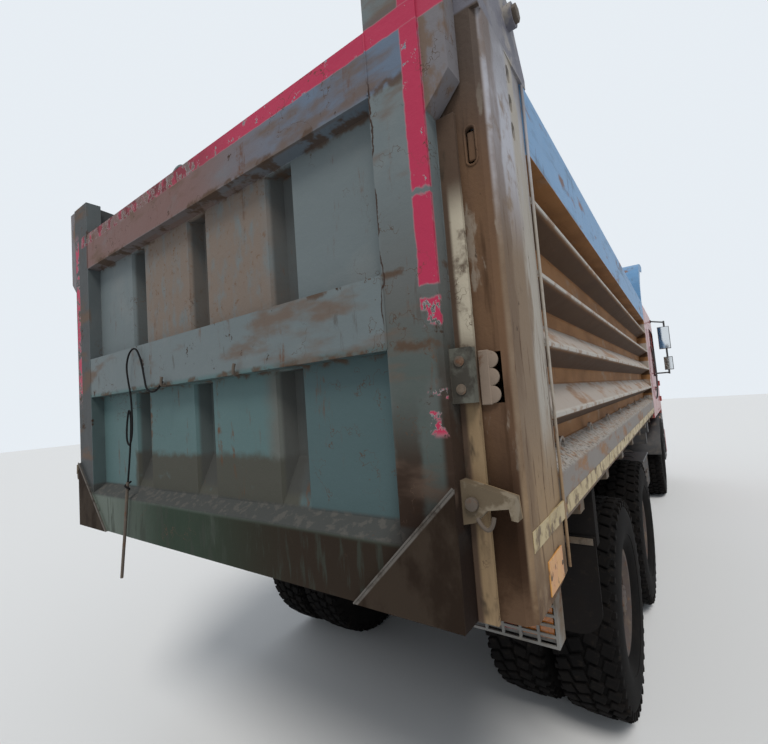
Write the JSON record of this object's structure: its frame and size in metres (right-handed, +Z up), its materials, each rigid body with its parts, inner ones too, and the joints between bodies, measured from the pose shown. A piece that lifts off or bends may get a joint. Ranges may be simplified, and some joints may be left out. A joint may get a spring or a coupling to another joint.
{
  "type": "dump truck",
  "caption": "Cab-over tipper with twin driven rear axles, a ribbed steel tipping bed and a tailgate hung from pins on its rear posts.",
  "frame": {"origin": "on the ground under the middle of the truck's length and width", "axes": "+Z up, -Y forwards, +X to the truck's left"},
  "size_m": [2.91, 8.524, 3.389],
  "materials": {
    "red_paint": "satin",
    "teal_paint": "matt, dusty",
    "wall_paint": "matt, rusty",
    "floor_steel": "rusty",
    "chassis_paint": "matt",
    "engine_iron": "matt",
    "tank_alloy": "satin",
    "black_parts": "satin",
    "black_plastic": "matt",
    "glass": "clear",
    "lamp": "clear lens",
    "lamp_guard": "dusty",
    "flap_rubber": "dusty",
    "tyre": "dusty",
    "wheel_paint": "dusty",
    "ram_steel": "oily",
    "rod_chrome": "bright"
  },
  "bodies": {
    "chassis": {"chassis_rails": "chassis_paint", "cross_members": "chassis_paint", "tow_beam": "chassis_paint", "bumper": "red_paint", "headlamps": "lamp", "engine": "engine_iron", "prop_shafts": "chassis_paint", "front_axle": "chassis_paint", "front_springs": "chassis_paint", "rear_axles": "chassis_paint", "rear_suspension": "chassis_paint", "fuel_tank": "tank_alloy", "air_tanks": "black_parts", "silencer": "black_parts", "air_intake": "black_plastic", "front_mudguards": "black_plastic"},
    "cab": {"cab_front": "red_paint", "cab_roof": "red_paint", "cab_back": "red_paint", "cab_floor": "red_paint", "cab_sides": "red_paint", "cab_glass": "glass", "cab_interior": "black_plastic", "mirrors": "black_plastic"},
    "bed": {"bed_floor": "floor_steel", "bed_beams": "floor_steel", "bed_front": "wall_paint", "cab_shield": "wall_paint", "rear_posts": "wall_paint", "mudflaps": "flap_rubber", "tail_lamps": "lamp_guard", "side_wall_left": "wall_paint", "side_wall_right": "wall_paint"},
    "tailgate": {"gate_frame": "teal_paint", "gate_panel": "teal_paint"},
    "ram_barrels": {"ram_barrels": "ram_steel"},
    "ram_rods": {"ram_rods": "rod_chrome"},
    "door_left": {"door_left": "red_paint", "door_glass_left": "glass"},
    "knuckle_left": {"knuckle_left": "chassis_paint"},
    "front_wheel_left": {"front_tyre_left": "tyre", "front_rim_left": "wheel_paint"},
    "mid_wheels_left": {"mid_tyres_left": "tyre", "mid_rims_left": "wheel_paint"},
    "rear_wheels_left": {"rear_tyres_left": "tyre", "rear_rims_left": "wheel_paint"},
    "door_right": {"door_right": "red_paint", "door_glass_right": "glass"},
    "knuckle_right": {"knuckle_right": "chassis_paint"},
    "front_wheel_right": {"front_tyre_right": "tyre", "front_rim_right": "wheel_paint"},
    "mid_wheels_right": {"mid_tyres_right": "tyre", "mid_rims_right": "wheel_paint"},
    "rear_wheels_right": {"rear_tyres_right": "tyre", "rear_rims_right": "wheel_paint"}
  },
  "joints": [
    {"name": "cab_tilt", "type": "hinge", "parent": "chassis", "child": "cab", "pos_m": [0, -4.1, 0.8], "axis": [1, 0, 0], "range_deg": [0, 50]},
    {"name": "bed_tip", "type": "hinge", "parent": "chassis", "child": "bed", "pos_m": [0, 3.35, 0.96], "axis": [-1, 0, 0], "range_deg": [0, 46]},
    {"name": "gate_swing", "type": "hinge", "parent": "bed", "child": "tailgate", "pos_m": [0, 3.92, 2.89], "axis": [1, 0, 0], "range_deg": [0, 60]},
    {"name": "ram_barrel_tilt", "type": "hinge", "parent": "chassis", "child": "ram_barrels", "pos_m": [0, 1.05, 0.83], "axis": [1, 0, 0], "range_deg": [0, 20.3]},
    {"name": "ram_rod_slide", "type": "slide", "parent": "ram_barrels", "child": "ram_rods", "axis": [0, 0.967, 0.2549], "range_m": [0, 0.795]},
    {"name": "door_left_swing", "type": "hinge", "parent": "cab", "child": "door_left", "pos_m": [1.204, -4.059, 1.6], "axis": [0, 0, -1], "range_deg": [0, 65]},
    {"name": "steer_left", "type": "hinge", "parent": "chassis", "child": "knuckle_left", "pos_m": [0.86, -2.755, 0.56], "axis": [0, 0, 1], "range_deg": [-33, 33]},
    {"name": "front_spin_left", "type": "hinge", "parent": "knuckle_left", "child": "front_wheel_left", "pos_m": [1.04, -2.755, 0.56], "axis": [1, 0, 0], "continuous": true},
    {"name": "mid_spin_left", "type": "hinge", "parent": "chassis", "child": "mid_wheels_left", "pos_m": [0.8875, 1.07, 0.56], "axis": [1, 0, 0], "continuous": true},
    {"name": "rear_spin_left", "type": "hinge", "parent": "chassis", "child": "rear_wheels_left", "pos_m": [0.8875, 2.42, 0.56], "axis": [1, 0, 0], "continuous": true},
    {"name": "door_right_swing", "type": "hinge", "parent": "cab", "child": "door_right", "pos_m": [-1.204, -4.059, 1.6], "axis": [0, 0, 1], "range_deg": [0, 65]},
    {"name": "steer_right", "type": "hinge", "parent": "chassis", "child": "knuckle_right", "pos_m": [-0.86, -2.755, 0.56], "axis": [0, 0, 1], "range_deg": [-33, 33]},
    {"name": "front_spin_right", "type": "hinge", "parent": "knuckle_right", "child": "front_wheel_right", "pos_m": [-1.04, -2.755, 0.56], "axis": [1, 0, 0], "continuous": true},
    {"name": "mid_spin_right", "type": "hinge", "parent": "chassis", "child": "mid_wheels_right", "pos_m": [-0.8875, 1.07, 0.56], "axis": [1, 0, 0], "continuous": true},
    {"name": "rear_spin_right", "type": "hinge", "parent": "chassis", "child": "rear_wheels_right", "pos_m": [-0.8875, 2.42, 0.56], "axis": [1, 0, 0], "continuous": true}
  ],
  "couplings": [
    {"joint": "ram_barrel_tilt", "follows": "bed_tip", "ratio": 0.4382},
    {"joint": "ram_rod_slide", "follows": "bed_tip", "m_per_rad": 0.98566},
    {"joint": "steer_right", "follows": "steer_left", "ratio": 1}
  ]
}
